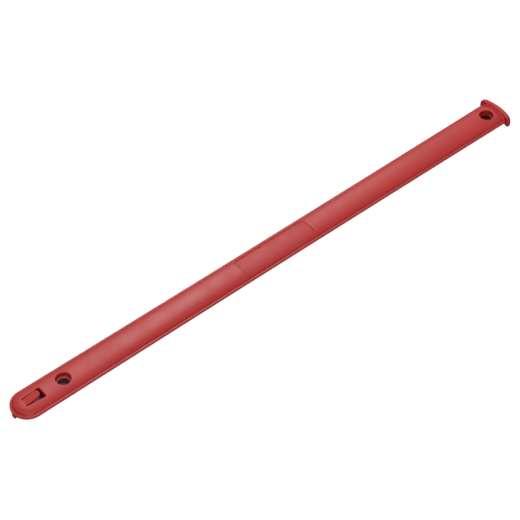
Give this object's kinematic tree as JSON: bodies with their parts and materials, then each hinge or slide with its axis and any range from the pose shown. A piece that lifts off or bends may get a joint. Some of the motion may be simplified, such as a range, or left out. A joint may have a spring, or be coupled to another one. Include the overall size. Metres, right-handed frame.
{
  "type": "moulded locking bar",
  "caption": "Long crowned plastic bar with a round hole at each end, a sprung tongue in the rounded nose and a curved stop head, used on beehives.",
  "frame": {"origin": "middle of the bar's box in plan, on the plane that the stop head and the nose lug stand on", "axes": "+X along the bar towards the stop head, +Y across the bar, +Z out of the crowned face"},
  "size_m": [0.4682, 0.0318, 0.0112],
  "materials": {
    "moulded_red": "satin moulded polymer, soft sheen"
  },
  "bodies": {
    "bar": {"crown_skin": "moulded_red", "rim_flange": "moulded_red", "nose_hole_boss": "moulded_red", "head_hole_boss": "moulded_red", "stiffening_ribs": "moulded_red", "stop_head": "moulded_red", "nose_lug": "moulded_red", "tongue_well": "moulded_red"},
    "latch": {"latch_tongue": "moulded_red"}
  },
  "joints": [
    {"name": "tongue_flex", "type": "hinge", "parent": "bar", "child": "latch", "pos_m": [-0.224, 0, 0.00697], "axis": [0, 1, 0], "range_deg": [0, 13], "stiffness_Nm_per_rad": 0.4}
  ]
}
